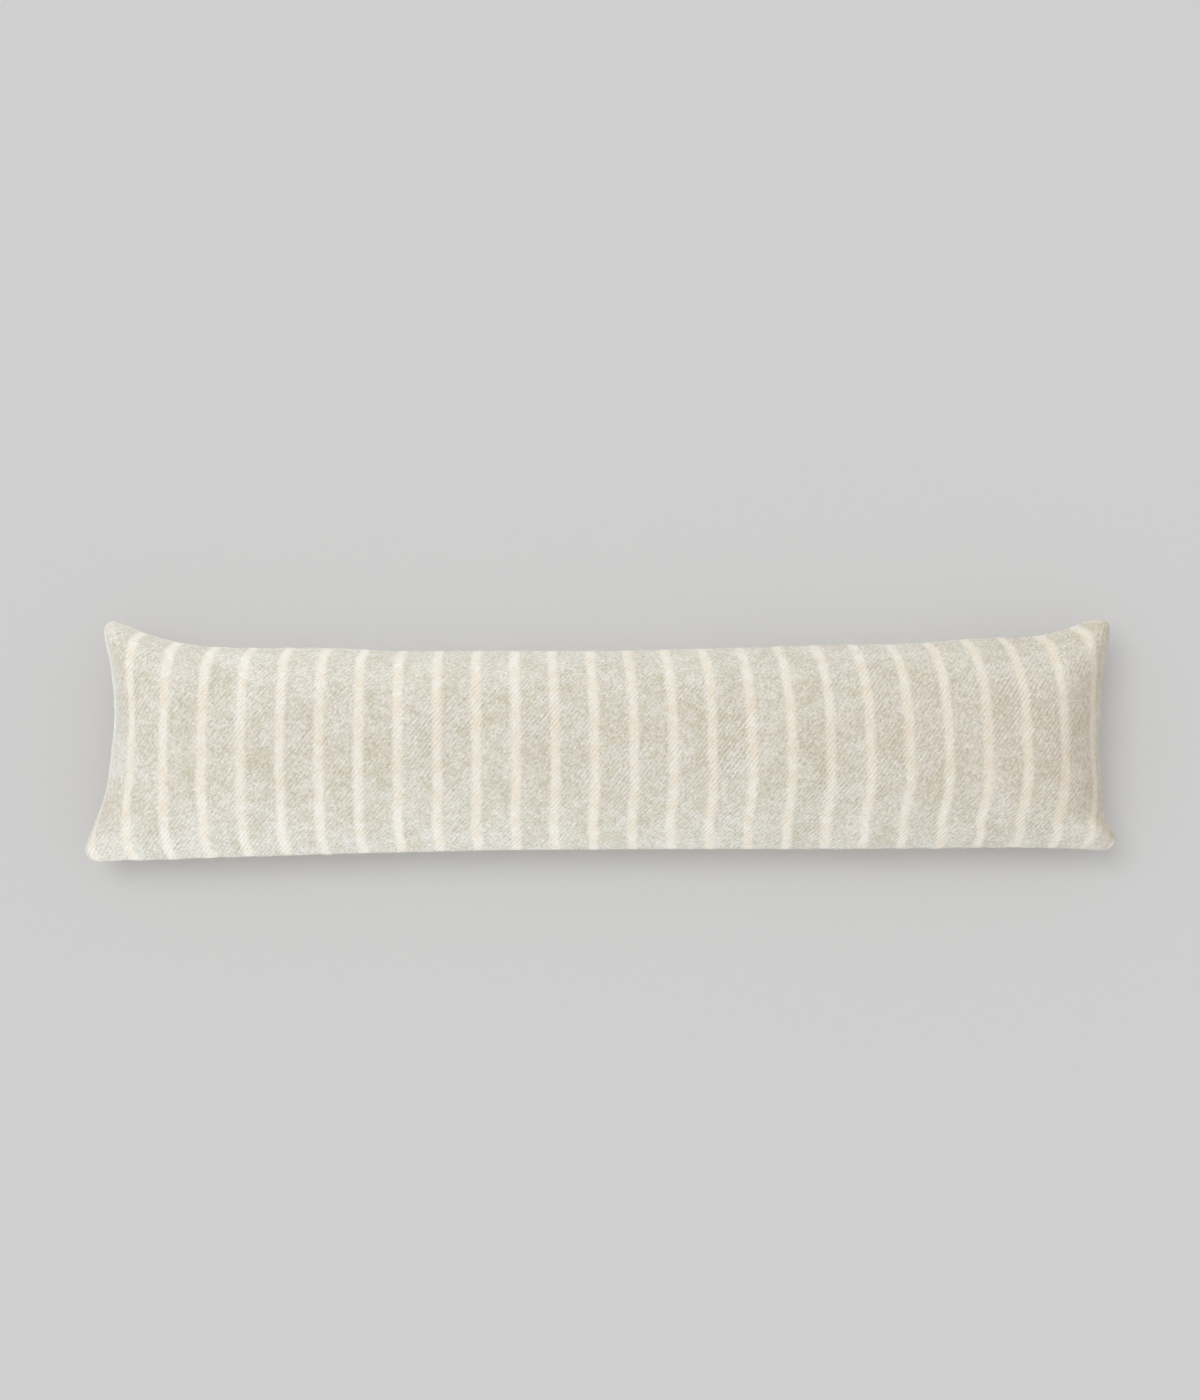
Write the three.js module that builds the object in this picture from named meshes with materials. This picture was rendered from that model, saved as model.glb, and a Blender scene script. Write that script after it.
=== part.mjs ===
import * as THREE from "three";

// A long lumbar pillow in a sewn wool cover, lying on its back. Sizes are in millimetres.
// X runs along the pillow, Y across it to its upper edge, and Z up out of its face.

// Filled sizes
const SEAM_HEIGHT = 57; // the sewn edge above the floor
const CROWN = 73; // how far each face swells from the sewn edge at mid-length
const SEAM_THICKNESS = 4; // two layers of wool and their turnings
const SEAM_LIP = 1.5; // how far the turned edge stands out past the faces
const FLOOR_BLEND = 9; // height over which the underside rolls from round to flat

// The four-sided patch of the underside that lies flat on the floor
const REST_STEPS_ALONG = 12; // grid steps from each short end
const REST_STEPS_ACROSS = 7; // grid steps from each long edge
const REST_DRAW_IN = 0.02; // share by which its sides draw in between its corners
const REST_LIFT = 0.5; // least height of the underside beyond it

// How the faces swell
const ARCH_ANGLE = 1.11; // half angle of the round arch across the pillow, in radians
const END_ROUND = 55; // distance from a short end at which the swell matches the arch
const END_POWER = 0.55; // below 1 the ends rise steeply from the seam
const SOFTNESS = 3; // higher makes a sharper change from arch to end

// Corners
const CORNER_PULL = 8; // how far a sewn corner is rounded off
const CORNER_REACH = 34; // length of edge that the rounding takes in

// Grid
const STEPS_ALONG = 64;
const STEPS_ACROSS = 20;
const END_CROWDING = 0.72; // 0 spaces the steps evenly, and near 1 crowds them at the ends

// The long edges: along is the share of the way from the left corner to the right one,
// far is the upper edge and near the lower one, both from the centre line.
const LONG_EDGES = [
  { along: 0.0, far: 150, near: -145 },
  { along: 0.02, far: 140, near: -144.5 },
  { along: 0.04, far: 130, near: -143.5 },
  { along: 0.065, far: 120, near: -142.5 },
  { along: 0.1, far: 112, near: -141.5 },
  { along: 0.15, far: 110, near: -139.5 },
  { along: 0.22, far: 110, near: -137 },
  { along: 0.3, far: 106.5, near: -134.5 },
  { along: 0.4, far: 107, near: -132 },
  { along: 0.5, far: 107, near: -131 },
  { along: 0.6, far: 109.5, near: -130.5 },
  { along: 0.7, far: 113, near: -130.5 },
  { along: 0.8, far: 115.5, near: -129.5 },
  { along: 0.87, far: 121, near: -128.5 },
  { along: 0.92, far: 123.5, near: -128.5 },
  { along: 0.95, far: 131, near: -129.5 },
  { along: 0.98, far: 144.5, near: -131 },
  { along: 1.0, far: 153, near: -132 },
];

// The short ends: across is the share of the way from the near corner to the far one.
const SHORT_ENDS = [
  { across: 0.0, left: -612, right: 613 },
  { across: 0.06, left: -603, right: 603.5 },
  { across: 0.1, left: -597, right: 596 },
  { across: 0.14, left: -591.5, right: 589.5 },
  { across: 0.18, left: -587, right: 588 },
  { across: 0.25, left: -580.5, right: 587 },
  { across: 0.35, left: -575, right: 586 },
  { across: 0.45, left: -572, right: 585 },
  { across: 0.55, left: -570, right: 586 },
  { across: 0.65, left: -570, right: 588.5 },
  { across: 0.75, left: -573.5, right: 591.5 },
  { across: 0.84, left: -578.5, right: 596 },
  { across: 0.92, left: -584.5, right: 600.5 },
  { across: 1.0, left: -590, right: 604 },
];

const LENGTH = SHORT_ENDS[0].right - SHORT_ENDS[0].left;
const WIDTH = LONG_EDGES[0].far - LONG_EDGES[0].near;

// Reads one column of a table at any share, on a smooth curve through its rows.
function readColumn(table, shareName, column, share) {
  const last = table.length - 1;
  let row = 0;
  while (row < last - 1 && share > table[row + 1][shareName]) {
    row += 1;
  }
  const slopeAt = (r) => {
    const before = table[Math.max(r - 1, 0)];
    const after = table[Math.min(r + 1, last)];
    return (after[column] - before[column]) / (after[shareName] - before[shareName]);
  };
  const start = table[row];
  const end = table[row + 1];
  const span = end[shareName] - start[shareName];
  const s = (share - start[shareName]) / span;
  const rise = end[column] - start[column];
  const startBend = slopeAt(row) * span - rise;
  const endBend = slopeAt(row + 1) * span - rise;
  return start[column] + s * rise + s * (1 - s) * ((1 - s) * startBend - s * endBend);
}

const longEdge = (side, along) => readColumn(LONG_EDGES, "along", side, along);
const shortEnd = (side, across) => readColumn(SHORT_ENDS, "across", side, across);
const blend = (a, b, share) => a + (b - a) * share;

// The plan position of a point of the cover, blended from the four sewn edges.
function planPoint(along, across) {
  const x = blend(shortEnd("left", across), shortEnd("right", across), along);
  const y = blend(longEdge("near", along), longEdge("far", along), across);
  return new THREE.Vector2(x, y);
}

// Slides a point near a corner inward, so that each corner is rounded as it is when sewn and turned.
function roundCorner(along, across) {
  const fade = (distance) => Math.max(0, 1 - distance / CORNER_REACH) ** 2;
  const fadeAlong = fade(Math.min(along, 1 - along) * LENGTH);
  const fadeAcross = fade(Math.min(across, 1 - across) * WIDTH);
  const pull = CORNER_PULL * fadeAlong * fadeAcross;
  const roundedAlong = along + (Math.sign(0.5 - along) * pull) / LENGTH;
  const roundedAcross = across + (Math.sign(0.5 - across) * pull) / WIDTH;
  return planPoint(roundedAlong, roundedAcross);
}

// Share of the full crown at a point: the lesser of the arch across and the swell from the ends.
function fullness(arch, along) {
  const swell = ((Math.min(along, 1 - along) * LENGTH) / END_ROUND) ** END_POWER;
  if (arch <= 0 || swell <= 0) {
    return 0;
  }
  return (arch ** -SOFTNESS + swell ** -SOFTNESS) ** (-1 / SOFTNESS);
}

// Limits a depth below the seam so that the underside lies flat on the floor.
function settle(depth, limit) {
  const overlap = Math.max(FLOOR_BLEND - Math.abs(depth - limit), 0) / FLOOR_BLEND;
  return Math.min(depth, limit) - (overlap * overlap * FLOOR_BLEND) / 4;
}

// Steps along the pillow crowd towards its ends. Steps across are even on the arch.
function shareAlong(step) {
  const s = step / STEPS_ALONG;
  return s - (END_CROWDING * Math.sin(2 * Math.PI * s)) / (2 * Math.PI);
}

function archAt(step) {
  const angle = ARCH_ANGLE * ((2 * step) / STEPS_ACROSS - 1);
  const across = 0.5 + (0.5 * Math.sin(angle)) / Math.sin(ARCH_ANGLE);
  const rise = (Math.cos(angle) - Math.cos(ARCH_ANGLE)) / (1 - Math.cos(ARCH_ANGLE));
  return { across, rise };
}

const gridSpot = (i, j) => roundCorner(shareAlong(i), archAt(j).across);
const restColumns = [REST_STEPS_ALONG, STEPS_ALONG - REST_STEPS_ALONG];
const restRows = [REST_STEPS_ACROSS, STEPS_ACROSS - REST_STEPS_ACROSS];
const within = (value, [low, high]) => value >= low && value <= high;

// A plan point of the flat patch, blended from its corners so that the pillow rests on all four.
function restSpot(i, j) {
  const [startAlong, endAlong] = restColumns.map(shareAlong);
  const [startAcross, endAcross] = restRows.map((row) => archAt(row).across);
  const u = (shareAlong(i) - startAlong) / (endAlong - startAlong);
  const v = (archAt(j).across - startAcross) / (endAcross - startAcross);
  const drawIn = (share, other) => 0.5 + (share - 0.5) * (1 - REST_DRAW_IN * 4 * other * (1 - other));
  const [leftNear, leftFar] = restRows.map((row) => gridSpot(restColumns[0], row));
  const [rightNear, rightFar] = restRows.map((row) => gridSpot(restColumns[1], row));
  const near = leftNear.lerp(rightNear, drawIn(u, v));
  const far = leftFar.lerp(rightFar, drawIn(u, v));
  return near.lerp(far, drawIn(v, u));
}

// Builds the closed cover: a front face, a back face and the turned edge between them.
function pillowGeometry() {
  const points = [];
  const triangles = [];
  const addPoint = (x, y, z) => points.push(x, y, z) / 3 - 1;
  const front = [];
  const back = [];
  const plan = [];
  const halfSeam = SEAM_THICKNESS / 2;
  for (let i = 0; i <= STEPS_ALONG; i += 1) {
    const along = shareAlong(i);
    front.push([]);
    back.push([]);
    plan.push([]);
    for (let j = 0; j <= STEPS_ACROSS; j += 1) {
      const { rise } = archAt(j);
      const onEdge = j === 0 || j === STEPS_ACROSS;
      const swelling = CROWN * fullness(onEdge ? 0 : rise, along);
      const settled = settle(swelling, SEAM_HEIGHT - halfSeam);
      const spot = gridSpot(i, j);
      const rests = within(i, restColumns) && within(j, restRows);
      const under = rests ? restSpot(i, j) : spot;
      const underHeight = rests ? 0 : Math.max(SEAM_HEIGHT - halfSeam - settled, REST_LIFT);
      plan[i].push(spot);
      front[i].push(addPoint(spot.x, spot.y, SEAM_HEIGHT + halfSeam + swelling));
      back[i].push(addPoint(under.x, under.y, underHeight));
    }
  }
  for (let i = 0; i < STEPS_ALONG; i += 1) {
    for (let j = 0; j < STEPS_ACROSS; j += 1) {
      const [a, b, c, d] = [front[i][j], front[i + 1][j], front[i + 1][j + 1], front[i][j + 1]];
      triangles.push(a, b, c, a, c, d);
      const [e, f, g, h] = [back[i][j], back[i + 1][j], back[i + 1][j + 1], back[i][j + 1]];
      triangles.push(e, g, f, e, h, g);
    }
  }

  // The seam runs anticlockwise, with a middle ring that stands out past both faces.
  const seam = [];
  for (let i = 0; i < STEPS_ALONG; i += 1) {
    seam.push([i, 0]);
  }
  for (let j = 0; j < STEPS_ACROSS; j += 1) {
    seam.push([STEPS_ALONG, j]);
  }
  for (let i = STEPS_ALONG; i > 0; i -= 1) {
    seam.push([i, STEPS_ACROSS]);
  }
  for (let j = STEPS_ACROSS; j > 0; j -= 1) {
    seam.push([0, j]);
  }
  const spotOf = ([i, j]) => plan[i][j];
  const lip = seam.map((place, n) => {
    const next = spotOf(seam[(n + 1) % seam.length]);
    const previous = spotOf(seam[(n + seam.length - 1) % seam.length]);
    const run = next.clone().sub(previous).normalize();
    const spot = spotOf(place);
    return addPoint(spot.x + run.y * SEAM_LIP, spot.y - run.x * SEAM_LIP, SEAM_HEIGHT);
  });
  seam.forEach(([i, j], n) => {
    const after = (n + 1) % seam.length;
    const [nextI, nextJ] = seam[after];
    triangles.push(lip[n], lip[after], front[nextI][nextJ], lip[n], front[nextI][nextJ], front[i][j]);
    triangles.push(back[i][j], back[nextI][nextJ], lip[after], back[i][j], lip[after], lip[n]);
  });

  const geometry = new THREE.BufferGeometry();
  geometry.setAttribute("position", new THREE.Float32BufferAttribute(points, 3));
  geometry.setIndex(triangles);
  geometry.computeBoundingBox();
  const centre = geometry.boundingBox.getCenter(new THREE.Vector3());
  geometry.translate(-centre.x, -centre.y, 0);
  geometry.computeVertexNormals();
  return geometry;
}

const wool = new THREE.MeshStandardMaterial({ color: 0xd7d2c4, roughness: 0.95, metalness: 0 });
const pillow = new THREE.Mesh(pillowGeometry(), wool);
pillow.name = "pillow";

const part = new THREE.Group();
part.add(pillow);

export default part;
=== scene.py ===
import math

import bmesh
import bpy
import numpy as np
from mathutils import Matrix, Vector


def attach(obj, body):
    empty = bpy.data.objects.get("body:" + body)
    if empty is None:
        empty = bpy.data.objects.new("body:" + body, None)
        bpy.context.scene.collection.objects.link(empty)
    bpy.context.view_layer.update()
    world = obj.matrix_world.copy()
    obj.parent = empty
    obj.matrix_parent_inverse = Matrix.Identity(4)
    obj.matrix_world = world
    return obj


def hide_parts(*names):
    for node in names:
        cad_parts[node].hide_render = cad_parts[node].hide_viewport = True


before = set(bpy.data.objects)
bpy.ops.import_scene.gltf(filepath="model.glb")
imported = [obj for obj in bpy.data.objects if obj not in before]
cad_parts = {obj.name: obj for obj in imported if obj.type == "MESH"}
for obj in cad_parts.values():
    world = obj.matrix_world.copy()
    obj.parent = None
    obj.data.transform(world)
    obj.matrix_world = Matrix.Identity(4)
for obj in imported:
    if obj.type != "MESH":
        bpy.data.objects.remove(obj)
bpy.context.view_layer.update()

# A long lumbar pillow in a sewn wool cover, lying on its back.
# Sizes are in metres, in the frame of the part: X along the pillow, Y across it, Z up.
MM = 0.001

# The flat cover, before it is sewn and filled
COVER_LENGTH = 1.219
COVER_WIDTH = 0.305

# The filled form
SEAM_HEIGHT = 57 * MM  # the sewn edge above the floor
CROWN = 73 * MM  # how far each face swells from the sewn edge at mid-length
FLOOR_BLEND = 12 * MM  # height over which the underside rolls from round to flat
ARCH_ANGLE = 1.11  # half angle of the round arch across the pillow, in radians
END_ROUND = 55 * MM  # distance from a short end at which the swell matches the arch
END_POWER = 0.55  # below 1 the ends rise steeply from the seam
SOFTNESS = 3  # higher makes a sharper change from arch to end
LEAST_SWELL = 1e-6  # share of the crown at the seam, where the formula can't take 0
CORNER_PULL = 8 * MM  # how far a sewn corner is rounded off
CORNER_REACH = 34 * MM  # length of edge that the rounding takes in

# The long edges as they lie when filled, in millimetres from the centre line.
# along is the share of the way from the left corner to the right one.
LONG_EDGES = [
    {"along": 0.0, "far": 150, "near": -145},
    {"along": 0.02, "far": 140, "near": -144.5},
    {"along": 0.04, "far": 130, "near": -143.5},
    {"along": 0.065, "far": 120, "near": -142.5},
    {"along": 0.1, "far": 112, "near": -141.5},
    {"along": 0.15, "far": 110, "near": -139.5},
    {"along": 0.22, "far": 110, "near": -137},
    {"along": 0.3, "far": 106.5, "near": -134.5},
    {"along": 0.4, "far": 107, "near": -132},
    {"along": 0.5, "far": 107, "near": -131},
    {"along": 0.6, "far": 109.5, "near": -130.5},
    {"along": 0.7, "far": 113, "near": -130.5},
    {"along": 0.8, "far": 115.5, "near": -129.5},
    {"along": 0.87, "far": 121, "near": -128.5},
    {"along": 0.92, "far": 123.5, "near": -128.5},
    {"along": 0.95, "far": 131, "near": -129.5},
    {"along": 0.98, "far": 144.5, "near": -131},
    {"along": 1.0, "far": 153, "near": -132},
]

# The short ends likewise. across is the share of the way from the near corner to the far one.
SHORT_ENDS = [
    {"across": 0.0, "left": -612, "right": 613},
    {"across": 0.06, "left": -603, "right": 603.5},
    {"across": 0.1, "left": -597, "right": 596},
    {"across": 0.14, "left": -591.5, "right": 589.5},
    {"across": 0.18, "left": -587, "right": 588},
    {"across": 0.25, "left": -580.5, "right": 587},
    {"across": 0.35, "left": -575, "right": 586},
    {"across": 0.45, "left": -572, "right": 585},
    {"across": 0.55, "left": -570, "right": 586},
    {"across": 0.65, "left": -570, "right": 588.5},
    {"across": 0.75, "left": -573.5, "right": 591.5},
    {"across": 0.84, "left": -578.5, "right": 596},
    {"across": 0.92, "left": -584.5, "right": 600.5},
    {"across": 1.0, "left": -590, "right": 604},
]
LENGTH = (SHORT_ENDS[0]["right"] - SHORT_ENDS[0]["left"]) * MM
WIDTH = (LONG_EDGES[0]["far"] - LONG_EDGES[0]["near"]) * MM

# Grid of each panel, with finer cells along the seam
CELLS_ALONG = 200
CELLS_ACROSS = 52
SEAM_CROWDING = 0.075
CROWDING_POWER = 9
SPREAD_ROUNDS = 6

# Filling
FRAMES = 22
CLOTH_SETTINGS = {
    "quality": 6,
    "mass": 0.05,
    "tension_stiffness": 40,
    "compression_stiffness": 10,
    "shear_stiffness": 8,
    "bending_stiffness": 2,
    "air_damping": 2,
    "use_pressure": True,
    "uniform_pressure_force": 4,
    "pin_stiffness": 1,
}
CORNER_SMOOTH = 22 * MM
SMOOTH_ROUNDS = 8
SMOOTH_FACTOR = 0.5

# Sewing. The offsets move the two faces apart on the ripples, so that the faces differ.
SEAM_GROOVE = 2.4 * MM
GROOVE_REACH = 3 * MM
SEAM_SHADE_REACH = 2 * MM  # width of the painted shade line in the groove between the two panels
PUCKER_DEPTH = 0.7 * MM
PUCKER_LENGTHS = (13 * MM, 21 * MM, 34 * MM)
PUCKER_REACH = 16 * MM
PUCKER_OFFSET = 0.37
PUCKER_SEED = 3
LUMP_DEPTH = 0.9 * MM
LUMP_LENGTHS = (70 * MM, 110 * MM, 170 * MM)
LUMP_OFFSET = 0.61
LUMP_SEED = 5
WAVES_PER_LENGTH = 2
WAVE_PACES = (0.85, 1.2)  # how far the pace of a ripple may stray from its wavelength
CORNER_CALM = 32 * MM  # the thin corners are too stiff for a groove or puckers

# Stripes of the flat cloth, which was cut slightly off square and is drawn lengthwise beside the seam
STRIPE_PITCH = 45.05 * MM
STRIPE_WIDTH = 11 * MM
STRIPE_EDGE = 3.2 * MM  # half the width of a stripe's soft edge
STRIPE_SHIFT = -8.9 * MM
STRIPE_SKEW = 0.0627
SKEW_LOSS = 0.0245  # how much less the cloth is skewed beside the seam
CLOTH_DRAW = 0.080
DRAW_RISE = 3  # powers of the share of the way to the seam: the draw grows with the first
DRAW_FALL = 7  # and dies away with the second
BACK_CUT = 40  # stripes between the front panel and the back one on the cloth

# Places on the flat cover where cloth was taken up or let out, and how far that moves it, in millimetres
EASES = [
    {"along": -610, "across": 0, "reach": 65, "amount": -8},
    {"along": 610, "across": -152, "reach": 50, "amount": 30},
]

# Wool
BROWN = (0.634, 0.556, 0.414)
FROST = (0.826, 0.764, 0.673)
CREAM = (0.870, 0.753, 0.592)
MILK = (0.903, 0.825, 0.718)
FLECK = (0.330, 0.290, 0.190)
FLECK_START = 0.46  # levels of the fleck noise at which a fleck starts and is full
FLECK_FULL = 0.62
FLECK_SHARE = 0.4
TWILL_ALONG = 183.0  # twill lines per metre along the cover
TWILL_ACROSS = -138.0  # and across it: the lines lean to the right
TWILL_LEAN = math.atan2(TWILL_ALONG, -TWILL_ACROSS)
TWILL_LEAST = 0.1  # how much of the twill shows where the nap is brushed flat over it
FIBRE_STRETCH = 1.35
SEAM_SHADE_POWER = 2.5  # higher makes the painted shade line narrower
BUMP_STRENGTH = 0.6
BUMP_DEPTH = 0.8 * MM
WOOL_SURFACE = {
    "Roughness": 0.95,
    "Specular IOR Level": 0.15,
    "Sheen Weight": 1.0,
    "Sheen Roughness": 0.35,
    "Sheen Tint": (1.0, 0.99, 0.96, 1),
}

# Noises of the wool: the size of their features, how many finer layers they have and how strong those are.
# Those that lie along the twill are stretched that way.
WOOL_NOISES = {
    "waver": {"size": 30 * MM, "detail": 1, "roughness": 0.5, "lies": "square"},
    "fray": {"size": 3 * MM, "detail": 2, "roughness": 0.6, "lies": "along twill"},
    "drift": {"size": 20 * MM, "detail": 2, "roughness": 0.5, "lies": "square"},
    "brushing": {"size": 12 * MM, "detail": 2, "roughness": 0.5, "lies": "square"},
    "wear": {"size": 90 * MM, "detail": 1, "roughness": 0.5, "lies": "square"},
    "fibre": {"size": 1.7 * MM, "detail": 3, "roughness": 0.7, "lies": "along twill"},
    "tuft": {"size": 3.6 * MM, "detail": 2, "roughness": 0.6, "lies": "along twill"},
    "mottle": {"size": 13 * MM, "detail": 3, "roughness": 0.55, "lies": "square"},
    "cloud": {"size": 50 * MM, "detail": 2, "roughness": 0.5, "lies": "square"},
    "fleck": {"size": 3 * MM, "detail": 0, "roughness": 0.5, "lies": "square"},
    "milk": {"size": 17 * MM, "detail": 2, "roughness": 0.5, "lies": "square"},
}

# Each blend is a base plus amounts of those noises, of the place on the cloth, of the twill and of the
# painted shade along the seam.
WOOL_BLENDS = {
    "stripe place": {"base": 0, "along": 1, "waver": 1.2 * MM, "fray": 3 * MM},
    "twill phase": {"base": 0, "along": TWILL_ALONG, "across": TWILL_ACROSS, "drift": 0.25},
    "twill strength": {"base": 0.55, "brushing": 0.8, "wear": 1.2, "across": -1.5},
    "frosting": {"base": 0.5, "mottle": 0.48, "cloud": 0.42, "tuft": 0.66, "fibre": 0.58},
    "milkiness": {"base": 0.5, "milk": 1.3, "fibre": 0.3},
    # brightness also darkens a thin line along the seam: painted shade in the groove
    "brightness": {"base": 1, "twill": 0.08, "fibre": 0.24, "tuft": 0.15, "painted shade at seam": -0.38},
    "height": {"base": 0, "twill": 0.5, "fibre": 0.8, "tuft": 0.5, "mottle": 0.6},
}

# Nap: loose fibres that stand out of the brushed cloth. Angles are in radians.
FIBRE_COUNT = 45000
FIBRE_LENGTH = 4.2 * MM
FIBRE_LENGTH_SPREAD = 0.4  # of the logarithm of the length
FIBRE_LONGEST = 9 * MM
FIBRE_WIDTH = 0.16 * MM
FIBRE_TAPER = 0.8  # width at mid-length as a share of that at the root
FIBRE_CLEAR = 5 * MM  # lowest root above the floor
FIBRE_LEAN_SPREAD = 0.8  # either side of the twill
FIBRE_RISES = (0.1, 0.9)  # slopes out of the cloth
FIBRE_LIFT = 0.35  # how much steeper the lower half is
FIBRE_DROOP = 0.45  # and how much flatter the upper half
FIBRE_TWIST_SPREAD = 0.7
FIBRE_COLOURS = {"fibre_cream": MILK, "fibre_frost": FROST, "fibre_brown": BROWN}
FROST_SHARE = 0.6  # of the fibres between the stripes
FIBRE_SURFACE = {"Roughness": 0.9, "Specular IOR Level": 0.2, "Sheen Weight": 0.3}
NAP_SEED = 11

# Floor
FLOOR_REACH = 8
FLOOR_SURFACE = {"Base Color": (0.78, 0.78, 0.78, 1), "Roughness": 0.9, "Specular IOR Level": 0.1}

# Light: an even studio, a soft sun from the upper left, and two low lamps either side of the left half.
# The lamps light the pillow only, so that the floor stays even.
WORLD_STRENGTH = 0.62
SUN_ENERGY = 0.62
SUN_ANGLE = math.radians(35)
SUN_HEADING = Vector((0.34, -0.22, -0.91))
LAMP_SIZE = 1.0
LAMP_ENERGY = 15.75
LAMP_COLOUR = (0.667, 0.829, 1.0)
LAMP_PLACES = [(-0.8, 1.6, 0.6), (-0.6, -1.6, 0.6)]

# Camera: the photo's angle to the face, with the lower edge slightly nearer
CAMERA_DISTANCE = 3.1
CAMERA_TILT = math.radians(6)
CAMERA_AIM = (-0.0006, 0.0465, SEAM_HEIGHT)
FOCAL_PIXELS = 2640
IMAGE_HEIGHT = 1400
SENSOR = 36


def add_object(name, data):
    made = bpy.data.objects.new(name, data)
    bpy.context.scene.collection.objects.link(made)
    return made


def read_vectors(items, name):
    values = np.empty(len(items) * 3, np.float32)
    items.foreach_get(name, values)
    return values.reshape(-1, 3).astype(float)


def write_points(mesh, points):
    mesh.vertices.foreach_set("co", points.astype(np.float32).ravel())
    mesh.update()


def bake_modifiers(piece):
    """Keeps the shape that the modifiers give and removes them."""
    shaped = piece.evaluated_get(bpy.context.evaluated_depsgraph_get())
    old = piece.data
    piece.data = bpy.data.meshes.new_from_object(shaped)
    piece.modifiers.clear()
    bpy.data.meshes.remove(old)
    piece.data.name = piece.name


def bell(distance, reach):
    """1 at no distance, about a third at the reach and soon nothing beyond."""
    return np.exp(-((distance / reach) ** 2))


def unit(vectors):
    return vectors / np.linalg.norm(vectors, axis=-1, keepdims=True)


# The filled form


def read_column(table, share_name, column, share):
    """A column of a table at any share, on a smooth curve through its rows, in metres."""
    shares = np.array([row[share_name] for row in table], float)
    values = np.array([row[column] for row in table], float) * MM
    slopes = np.gradient(values, shares)
    slopes[1:-1] = (values[2:] - values[:-2]) / (shares[2:] - shares[:-2])
    row = np.clip(np.searchsorted(shares, share) - 1, 0, len(shares) - 2)
    span = shares[row + 1] - shares[row]
    s = (share - shares[row]) / span
    rise = values[row + 1] - values[row]
    start_bend = slopes[row] * span - rise
    end_bend = slopes[row + 1] * span - rise
    return values[row] + s * rise + s * (1 - s) * ((1 - s) * start_bend - s * end_bend)


def plan_point(along, across):
    """Plan position of points of the cover, blended from the four sewn edges, with rounded corners."""

    def fade(distance):
        return np.maximum(0, 1 - distance / CORNER_REACH) ** 2

    fade_along = fade(np.minimum(along, 1 - along) * LENGTH)
    fade_across = fade(np.minimum(across, 1 - across) * WIDTH)
    pull = CORNER_PULL * fade_along * fade_across
    t = along + np.sign(0.5 - along) * pull / LENGTH
    w = across + np.sign(0.5 - across) * pull / WIDTH
    left = read_column(SHORT_ENDS, "across", "left", w)
    right = read_column(SHORT_ENDS, "across", "right", w)
    near = read_column(LONG_EDGES, "along", "near", t)
    far = read_column(LONG_EDGES, "along", "far", t)
    return left + (right - left) * t, near + (far - near) * w


def swell(along, across):
    """Height of a face above the seam: the lesser of the arch across and the rise from the ends."""
    sine = (2 * across - 1) * math.sin(ARCH_ANGLE)
    arch = (np.sqrt(1 - sine**2) - math.cos(ARCH_ANGLE)) / (1 - math.cos(ARCH_ANGLE))
    rise = (np.minimum(along, 1 - along) * LENGTH / END_ROUND) ** END_POWER
    arch = np.maximum(arch, LEAST_SWELL)
    rise = np.maximum(rise, LEAST_SWELL)
    return CROWN * (arch**-SOFTNESS + rise**-SOFTNESS) ** (-1 / SOFTNESS)


def face_points(along, across):
    x, y = plan_point(along, across)
    return np.stack([x, y, swell(along, across)], -1)


# The cover: two panels of cloth


def grid_shares(cells):
    """Shares of the way across a flat panel at its grid lines, closer together near the seam."""
    even = np.linspace(-1, 1, cells + 1)
    return 0.5 + 0.5 * (even + SEAM_CROWDING * (even - even**CROWDING_POWER))


def spread_evenly(along, across):
    """Moves the grid lines until the cloth between them is spread as it is in the flat cover."""
    shares = (grid_shares(CELLS_ALONG), grid_shares(CELLS_ACROSS))
    for _ in range(SPREAD_ROUNDS):
        for axis in (0, 1):
            points = face_points(along, across)
            steps = np.linalg.norm(np.diff(points, axis=axis), axis=-1)
            start = np.zeros_like(np.take(steps, [0], axis))
            run = np.concatenate([start, np.cumsum(steps, axis)], axis)
            for line in range(run.shape[1 - axis]):
                pick = (slice(None), line) if axis == 0 else (line, slice(None))
                length = run[pick]
                wanted = shares[axis] * length[-1]
                new_along = np.interp(wanted, length, along[pick])
                new_across = np.interp(wanted, length, across[pick])
                along[pick] = new_along
                across[pick] = new_across
    return along, across


def make_cover():
    """A closed mesh of two panels that share the seam, its flat-cover coordinates and its seam points."""
    flat_u, flat_v = np.meshgrid(grid_shares(CELLS_ALONG), grid_shares(CELLS_ACROSS), indexing="ij")
    along, across = spread_evenly(flat_u.copy(), flat_v.copy())
    points = face_points(along, across).reshape(-1, 3)
    column, row = np.indices(flat_u.shape)
    on_seam = (column % CELLS_ALONG == 0) | (row % CELLS_ACROSS == 0)
    seam = on_seam.ravel()
    points[seam, 2] = 0
    low, high = points[seam].min(0), points[seam].max(0)
    points[:, :2] -= (low[:2] + high[:2]) / 2
    count = len(points)
    front = np.arange(count)
    back = np.where(seam, front, count + np.cumsum(~seam) - 1)
    mirrored = points[~seam] * [1, 1, -1]
    flat = np.stack([(flat_u - 0.5).ravel() * COVER_LENGTH, (flat_v - 0.5).ravel() * COVER_WIDTH], -1)

    def quads(numbers):
        n = numbers.reshape(on_seam.shape)
        return np.stack([n[:-1, :-1], n[1:, :-1], n[1:, 1:], n[:-1, 1:]], -1).reshape(-1, 4)

    faces = np.concatenate([quads(front), quads(back)[:, ::-1]])
    all_points = np.concatenate([points, mirrored])
    all_flat = np.concatenate([flat, flat[~seam]])
    return all_points, faces, all_flat, np.flatnonzero(seam)


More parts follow.
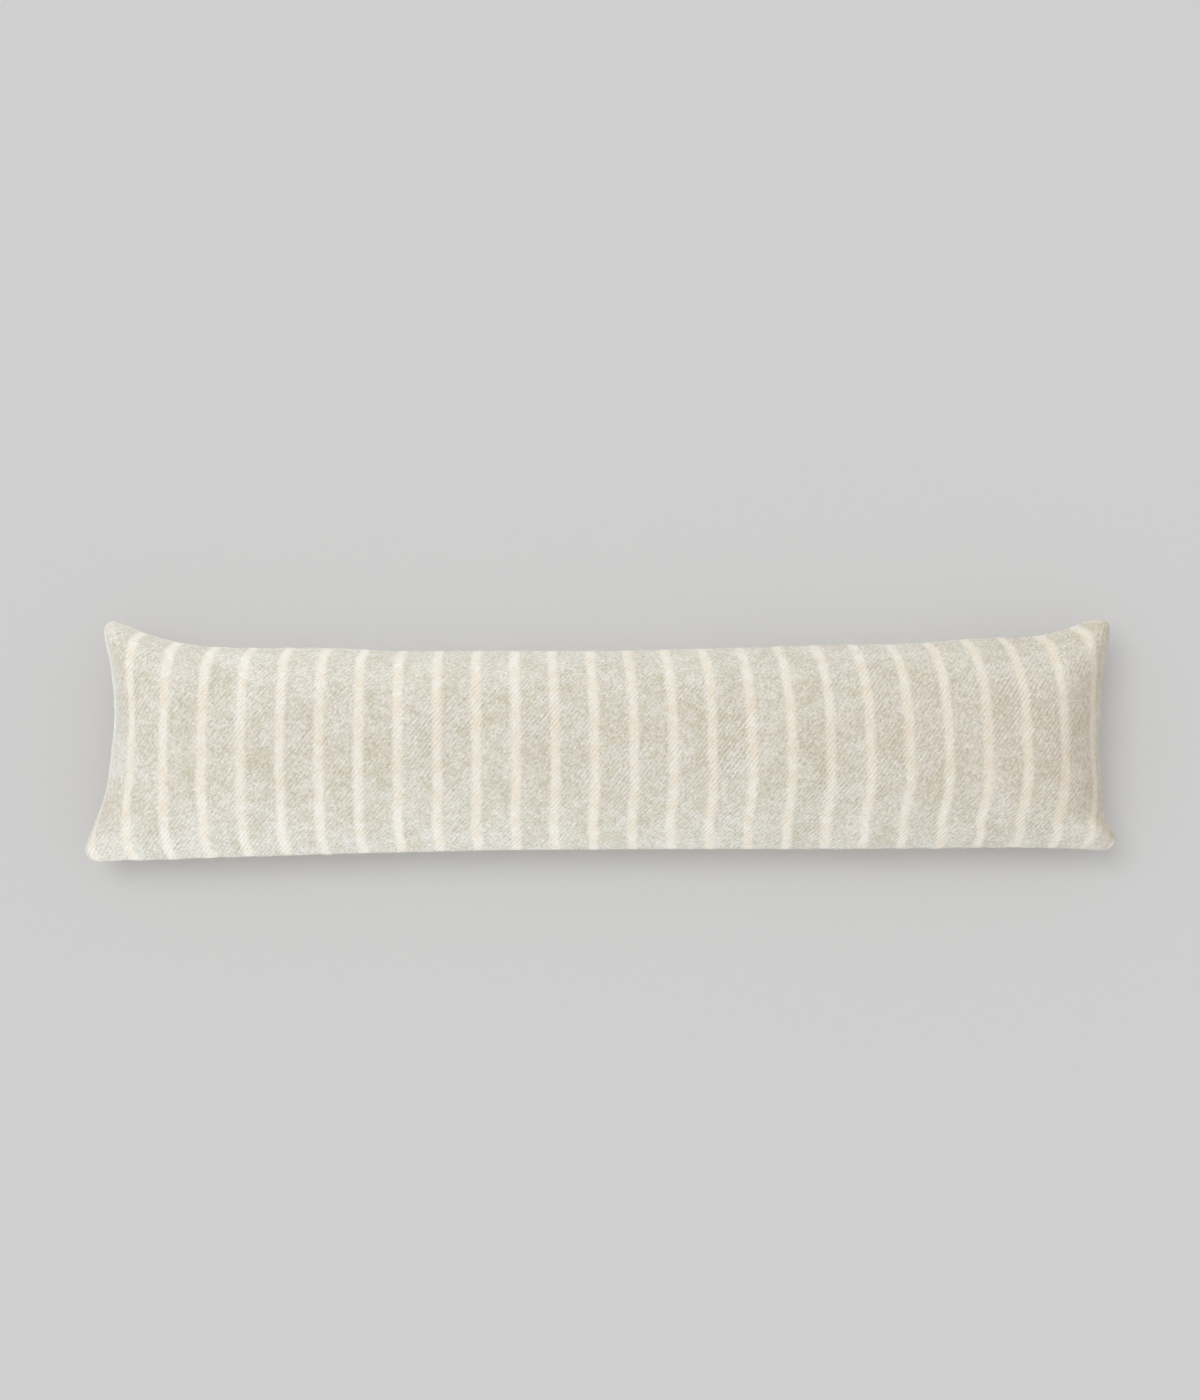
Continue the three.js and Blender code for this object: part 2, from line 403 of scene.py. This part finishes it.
def on_cloth(flat, back):
    """Places on the striped cloth that a panel was cut from.

    The back is cut further along and turned round, so its stripes meet those of the front at the seam.
    """
    u, v = flat.T
    share = np.abs(2 * v / COVER_WIDTH)
    drawn = u * (1 + CLOTH_DRAW * (share**DRAW_RISE - share**DRAW_FALL))
    along = drawn + (STRIPE_SKEW - SKEW_LOSS * share**2) * v + STRIPE_SHIFT
    for ease in EASES:
        distance = np.hypot(u - ease["along"] * MM, v - ease["across"] * MM)
        along += ease["amount"] * MM * bell(distance, ease["reach"] * MM)
    if back:
        along = BACK_CUT * STRIPE_PITCH - along
    return np.stack([along, v], -1)


def new_piece(name, points, faces, flat):
    mesh = bpy.data.meshes.new(name)
    mesh.from_pydata(points.tolist(), [], faces.tolist())
    mesh.shade_smooth()
    front_faces, back_faces = np.split(faces, 2)
    front_places = on_cloth(flat[front_faces.ravel()], back=False)
    back_places = on_cloth(flat[back_faces.ravel()], back=True)
    places = np.concatenate([front_places, back_places])
    mesh.uv_layers.new(name="cloth").data.foreach_set("uv", places.astype(np.float32).ravel())
    return add_object(name, mesh)


# Filling, sewing and laying down


def fill(piece, seam):
    """Fills the cover: cloth under pressure, held at the seam."""
    group = piece.vertex_groups.new(name="seam")
    group.add(seam.tolist(), 1.0, "REPLACE")
    cloth = piece.modifiers.new("Filling", "CLOTH")
    for name, value in CLOTH_SETTINGS.items():
        setattr(cloth.settings, name, value)
    cloth.settings.vertex_group_mass = "seam"
    cloth.settings.effector_weights.gravity = 0
    cloth.collision_settings.use_collision = False
    cloth.collision_settings.use_self_collision = False
    scene = bpy.context.scene
    for number in range(1, FRAMES + 1):
        scene.frame_set(number)
    bake_modifiers(piece)
    scene.frame_set(1)
    piece.vertex_groups.clear()


def from_edges(flat):
    """Distances from the nearest end and the nearest side of the flat cover."""
    return COVER_LENGTH / 2 - np.abs(flat[:, 0]), COVER_WIDTH / 2 - np.abs(flat[:, 1])


def from_corner(flat):
    """Distances from the nearest corner of the flat cover."""
    return np.hypot(*from_edges(flat))


def smooth_corners(piece, flat, seam):
    """Evens out the cloth at the corners, where filling would fold it over itself."""
    chosen = from_corner(flat) < CORNER_SMOOTH
    chosen[seam] = False
    mesh = bmesh.new()
    mesh.from_mesh(piece.data)
    mesh.verts.ensure_lookup_table()
    loose = [mesh.verts[number] for number in np.flatnonzero(chosen)]
    axes = {"use_axis_x": True, "use_axis_y": True, "use_axis_z": True}
    for _ in range(SMOOTH_ROUNDS):
        bmesh.ops.smooth_vert(mesh, verts=loose, factor=SMOOTH_FACTOR, **axes)
    mesh.to_mesh(piece.data)
    mesh.free()


def waves(place, lengths, seed):
    """An uneven ripple of these wavelengths, between about -1 and 1, the same every time."""
    dice = np.random.default_rng(seed)
    total = np.zeros(len(place))
    for length in lengths:
        for _ in range(WAVES_PER_LENGTH):
            turn = dice.uniform(0, 2 * math.pi)
            heading = np.array([math.cos(turn), math.sin(turn)])[: place.shape[1]]
            pace = dice.uniform(*WAVE_PACES) / length
            total += np.sin(2 * math.pi * pace * (place @ heading) + dice.uniform(0, 2 * math.pi))
    return total / math.sqrt(WAVES_PER_LENGTH * len(lengths))


def sew(piece, flat, seam):
    """Draws the seam in, puckers the cloth beside it, leaves the filling slightly uneven, and marks where
    shade is painted along the seam.
    """
    mesh = piece.data
    points = read_vectors(mesh.vertices, "co")
    normals = read_vectors(mesh.vertex_normals, "vector")
    to_end, to_side = from_edges(flat)
    to_seam = np.minimum(to_end, to_side)
    by_seam = np.exp(-to_seam / PUCKER_REACH)
    face = np.where(points[:, 2] < 0, -1.0, 1.0)
    run = np.where(to_side < to_end, flat[:, 0], flat[:, 1]) + face * PUCKER_OFFSET
    pucker = PUCKER_DEPTH * waves(run[:, None], PUCKER_LENGTHS, PUCKER_SEED) * by_seam
    pucker[seam] = 0
    spread = np.stack([flat[:, 0], flat[:, 1] + face * LUMP_OFFSET], -1)
    lump = LUMP_DEPTH * waves(spread, LUMP_LENGTHS, LUMP_SEED) * (1 - by_seam)
    groove = -SEAM_GROOVE * bell(to_seam, GROOVE_REACH)
    calm = bell(from_corner(flat), CORNER_CALM)
    lift = lump + (pucker + groove) * (1 - calm)
    write_points(mesh, points + normals * lift[:, None])
    # Mask for a thin line of painted shade in the groove along the seam, darkened in the wool material
    line = mesh.attributes.new("painted_seam_shade", "FLOAT", "POINT")
    line.data.foreach_set("value", bell(to_seam, SEAM_SHADE_REACH).astype(np.float32))


def lay_down(piece):
    """Sets the pillow on the floor, flat where it rests."""
    points = read_vectors(piece.data.vertices, "co")
    depth = np.maximum(-points[:, 2], 0)
    overlap = np.maximum(FLOOR_BLEND - np.abs(depth - SEAM_HEIGHT), 0) / FLOOR_BLEND
    settled = np.minimum(depth, SEAM_HEIGHT) - overlap**2 * FLOOR_BLEND / 4
    points[:, 2] = SEAM_HEIGHT + np.where(points[:, 2] < 0, -settled, points[:, 2])
    write_points(piece.data, points)


def refine(piece):
    subdivision = piece.modifiers.new("Refine", "SUBSURF")
    subdivision.levels = 1
    subdivision.render_levels = 1
    bake_modifiers(piece)


# Materials


class Nodes:
    """Short names for making shader nodes."""

    def __init__(self, tree):
        self.tree = tree
        tree.nodes.clear()

    def add(self, kind, inputs=(), **settings):
        made = self.tree.nodes.new(kind)
        for name, value in settings.items():
            setattr(made, name, value)
        for key, value in dict(inputs).items():
            socket = made.inputs[key]
            if isinstance(value, bpy.types.NodeSocket):
                self.tree.links.new(value, socket)
            else:
                socket.default_value = value
        return made

    def math(self, operation, a, b=0.0, c=0.0):
        return self.add("ShaderNodeMath", {0: a, 1: b, 2: c}, operation=operation).outputs[0]

    def noise(self, vector, size, detail, roughness):
        """Smooth noise between about -1 and 1, with features of that size in metres."""
        inputs = {"Vector": vector, "Scale": 1 / size, "Detail": detail, "Roughness": roughness}
        made = self.add("ShaderNodeTexNoise", inputs)
        return self.math("MULTIPLY_ADD", made.outputs["Fac"], 2.0, -1.0)

    def ramp(self, value, low=0.0, high=1.0):
        """0 up to low, 1 from high on, smooth between; low may be above high."""
        inputs = {"Value": value, "From Min": low, "From Max": high}
        return self.add("ShaderNodeMapRange", inputs, interpolation_type="SMOOTHSTEP").outputs["Result"]

    def mix(self, share, first, second):
        """A colour between two, each a colour or a socket."""
        made = self.add("ShaderNodeMix", {"Factor": share}, data_type="RGBA")
        colours = [socket for socket in made.inputs if socket.type == "RGBA"]
        for socket, colour in zip(colours, (first, second)):
            if isinstance(colour, bpy.types.NodeSocket):
                self.tree.links.new(colour, socket)
            else:
                socket.default_value = (*colour, 1)
        return [socket for socket in made.outputs if socket.type == "RGBA"][0]


def wool_material():
    material = bpy.data.materials.new("wool")
    material.use_nodes = True
    n = Nodes(material.node_tree)
    place = n.add("ShaderNodeUVMap", uv_map="cloth").outputs["UV"]
    split = n.add("ShaderNodeSeparateXYZ", {"Vector": place})
    turned = {"Vector": place, "Rotation": (0, 0, TWILL_LEAN), "Scale": (FIBRE_STRETCH, 1, 1)}
    along_twill = n.add("ShaderNodeMapping", turned, vector_type="TEXTURE").outputs["Vector"]
    seam_shade_mask = n.add("ShaderNodeAttribute", attribute_name="painted_seam_shade").outputs["Fac"]
    signals = {
        "along": split.outputs["X"],
        "across": split.outputs["Y"],
        "painted shade at seam": n.math("POWER", seam_shade_mask, SEAM_SHADE_POWER),
    }
    for name, row in WOOL_NOISES.items():
        vector = along_twill if row["lies"] == "along twill" else place
        signals[name] = n.noise(vector, row["size"], row["detail"], row["roughness"])

    def blend(name):
        amounts = dict(WOOL_BLENDS[name])
        total = amounts.pop("base")
        for signal, amount in amounts.items():
            total = n.math("MULTIPLY_ADD", signals[signal], amount, total)
        return total

    # Stripes, with edges that waver where the brushed fibres cross them
    pitches = n.math("MULTIPLY", blend("stripe place"), 1 / STRIPE_PITCH)
    offset = n.math("ABSOLUTE", n.math("SUBTRACT", n.math("FRACT", pitches), 0.5))
    distance = n.math("MULTIPLY", offset, STRIPE_PITCH)
    stripe = n.ramp(distance, STRIPE_WIDTH / 2 + STRIPE_EDGE, STRIPE_WIDTH / 2 - STRIPE_EDGE)

    # Twill lines, broken up by the nap and brushed flat in places
    line = n.math("SINE", n.math("MULTIPLY", blend("twill phase"), 2 * math.pi))
    strength = n.math("MAXIMUM", blend("twill strength"), TWILL_LEAST)
    signals["twill"] = n.math("MULTIPLY", line, strength)

    # Colour: frosted brown with dark flecks, and stripes from cream to milk
    ground = n.mix(n.ramp(blend("frosting")), BROWN, FROST)
    fleck = n.ramp(signals["fleck"], FLECK_START, FLECK_FULL)
    ground = n.mix(n.math("MULTIPLY", fleck, FLECK_SHARE), ground, FLECK)
    bands = n.mix(n.ramp(blend("milkiness")), CREAM, MILK)
    colour = n.mix(stripe, ground, bands)
    # Brightness: tone that varies with the twill and fibres, and painted shade in the groove along the seam
    shaded = {"Color": colour, "Value": blend("brightness")}
    tone = n.add("ShaderNodeHueSaturation", shaded).outputs["Color"]

    relief = {"Height": blend("height"), "Strength": BUMP_STRENGTH, "Distance": BUMP_DEPTH}
    bump = n.add("ShaderNodeBump", relief).outputs["Normal"]
    shader = n.add("ShaderNodeBsdfPrincipled", {"Base Color": tone, "Normal": bump, **WOOL_SURFACE})
    n.add("ShaderNodeOutputMaterial", {"Surface": shader.outputs["BSDF"]})
    return material


def even_material(name, surface):
    """A material that is the same all over."""
    material = bpy.data.materials.new(name)
    material.use_nodes = True
    shader = material.node_tree.nodes["Principled BSDF"]
    for socket, value in surface.items():
        shader.inputs[socket].default_value = value
    return material


# Nap


def read_triangles(mesh):
    """Corner points of the triangles of a mesh, and their places on the cloth."""
    mesh.calc_loop_triangles()
    count = len(mesh.loop_triangles)
    corners = np.empty(count * 3, np.int32)
    loops = np.empty(count * 3, np.int32)
    mesh.loop_triangles.foreach_get("vertices", corners)
    mesh.loop_triangles.foreach_get("loops", loops)
    cloth = np.empty(len(mesh.loops) * 2, np.float32)
    mesh.uv_layers["cloth"].data.foreach_get("uv", cloth)
    points = read_vectors(mesh.vertices, "co")[corners].reshape(-1, 3, 3)
    places = cloth.reshape(-1, 2)[loops].reshape(-1, 3, 2).astype(float)
    return points, places


def scatter_roots(points, places, dice):
    """Roots spread evenly over the triangles and clear of the floor: their triangles, points and places."""
    sides = np.cross(points[:, 1] - points[:, 0], points[:, 2] - points[:, 0])
    area = np.cumsum(np.linalg.norm(sides, axis=1))
    picked = np.searchsorted(area, dice.uniform(0, area[-1], FIBRE_COUNT))
    a, b = dice.uniform(0, 1, (2, FIBRE_COUNT))
    over = a + b > 1
    a[over] = 1 - a[over]
    b[over] = 1 - b[over]
    weights = np.stack([1 - a - b, a, b], -1)[..., None]
    root = (points[picked] * weights).sum(1)
    place = (places[picked] * weights).sum(1)
    high = root[:, 2] > FIBRE_CLEAR
    return picked[high], root[high], place[high]


def cloth_directions(points, places):
    """Directions along the cloth, across it and out of it on each triangle."""
    edge_a = points[:, 1] - points[:, 0]
    edge_b = points[:, 2] - points[:, 0]
    step_a = places[:, 1] - places[:, 0]
    step_b = places[:, 2] - places[:, 0]
    turn = step_a[:, 0] * step_b[:, 1] - step_a[:, 1] * step_b[:, 0]
    along = unit((edge_a * step_b[:, 1:] - edge_b * step_a[:, 1:]) / turn[:, None])
    across = unit((edge_b * step_a[:, :1] - edge_a * step_b[:, :1]) / turn[:, None])
    outward = unit(np.cross(edge_a, edge_b))
    return along, across, outward


def bend_fibres(root, along, across, outward, dice):
    """Five points for each fibre, which leaves its root, bends over and tapers to a point."""
    count = len(root)
    lean = TWILL_LEAN + dice.normal(0, FIBRE_LEAN_SPREAD, count)
    heading = unit(np.cos(lean)[:, None] * along + np.sin(lean)[:, None] * across)
    length = FIBRE_LENGTH * np.exp(dice.normal(0, FIBRE_LENGTH_SPREAD, count))
    half = np.minimum(length, FIBRE_LONGEST)[:, None] / 2
    rise = dice.uniform(*FIBRE_RISES, count)

    def stretch(angle):
        return (np.cos(angle)[:, None] * heading + np.sin(angle)[:, None] * outward) * half

    middle = root + stretch(rise + FIBRE_LIFT)
    tip = middle + stretch(rise - FIBRE_DROOP)
    twist = dice.normal(0, FIBRE_TWIST_SPREAD, count)[:, None]
    side = unit(np.cross(heading, outward) + outward * twist) * FIBRE_WIDTH / 2
    narrow = FIBRE_TAPER * side
    fibres = np.stack([root - side, root + side, middle + narrow, middle - narrow, tip], 1)
    fibres[..., 2] = np.maximum(fibres[..., 2], FIBRE_WIDTH)
    return fibres


def make_nap(piece):
    """Loose fibres all over the pillow, cream on the stripes and frosted or brown between them."""
    dice = np.random.default_rng(NAP_SEED)
    points, places = read_triangles(piece.data)
    picked, root, place = scatter_roots(points, places, dice)
    fibres = bend_fibres(root, *cloth_directions(points[picked], places[picked]), dice)
    count, corners = fibres.shape[:2]
    start = np.arange(count)[:, None] * corners
    faces = (start + [0, 1, 2, 3]).tolist() + (start + [3, 2, 4]).tolist()
    mesh = bpy.data.meshes.new("wool_nap")
    mesh.from_pydata(fibres.reshape(-1, 3).tolist(), [], faces)
    for name, colour in FIBRE_COLOURS.items():
        mesh.materials.append(even_material(name, {"Base Color": (*colour, 1), **FIBRE_SURFACE}))
    cream, frost, brown = range(len(FIBRE_COLOURS))
    off_centre = np.abs((place[:, 0] / STRIPE_PITCH) % 1 - 0.5) * STRIPE_PITCH
    between = np.where(dice.uniform(0, 1, count) < FROST_SHARE, frost, brown)
    shade = np.where(off_centre < STRIPE_WIDTH / 2, cream, between)
    mesh.polygons.foreach_set("material_index", np.concatenate([shade, shade]).astype(np.int32))
    return add_object("wool_nap", mesh)


# Floor, light and camera


def aim(thing, direction):
    thing.rotation_euler = direction.to_track_quat("-Z", "Y").to_euler()


def add_floor():
    mesh = bpy.data.meshes.new("floor")
    signs = [(-1, -1), (1, -1), (1, 1), (-1, 1)]
    mesh.from_pydata([(x * FLOOR_REACH, y * FLOOR_REACH, 0) for x, y in signs], [], [(0, 1, 2, 3)])
    mesh.materials.append(even_material("floor", FLOOR_SURFACE))
    return add_object("floor", mesh)


def add_studio_light():
    world = bpy.data.worlds.new("studio")
    world.use_nodes = True
    background = world.node_tree.nodes["Background"]
    background.inputs["Color"].default_value = (1, 1, 1, 1)
    background.inputs["Strength"].default_value = WORLD_STRENGTH
    bpy.context.scene.world = world
    sun = bpy.data.lights.new("sun", "SUN")
    sun.energy = SUN_ENERGY
    sun.angle = SUN_ANGLE
    aim(add_object("sun", sun), SUN_HEADING)
    bpy.context.scene.view_settings.view_transform = "Standard"


def add_lamps(lit_things):
    lit = bpy.data.collections.new("lit by the lamps")
    for thing in lit_things:
        lit.objects.link(thing)
    for number, place in enumerate(LAMP_PLACES):
        lamp = bpy.data.lights.new(f"lamp_{number}", "AREA")
        lamp.energy = LAMP_ENERGY
        lamp.color = LAMP_COLOUR
        lamp.size = LAMP_SIZE
        lamp_object = add_object(lamp.name, lamp)
        lamp_object.location = place
        aim(lamp_object, Vector((0, 0, SEAM_HEIGHT)) - lamp_object.location)
        lamp_object.light_linking.receiver_collection = lit


def add_camera():
    camera = bpy.data.cameras.new("camera")
    camera.sensor_width = SENSOR
    camera.lens = SENSOR * FOCAL_PIXELS / IMAGE_HEIGHT
    camera_object = add_object("camera", camera)
    back_off = Vector((0, -math.sin(CAMERA_TILT), math.cos(CAMERA_TILT)))
    camera_object.location = Vector(CAMERA_AIM) + CAMERA_DISTANCE * back_off
    aim(camera_object, -back_off)
    bpy.context.scene.camera = camera_object


# The pillow
points, faces, flat, seam = make_cover()
pillow = new_piece("wool_pillow", points, faces, flat)
fill(pillow, seam)
smooth_corners(pillow, flat, seam)
sew(pillow, flat, seam)
lay_down(pillow)
refine(pillow)
pillow.data.materials.append(wool_material())
nap = make_nap(pillow)
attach(nap, "root")
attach(pillow, "root")
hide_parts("pillow")

# The studio
floor = add_floor()
add_studio_light()
add_lamps([pillow, nap])
add_camera()
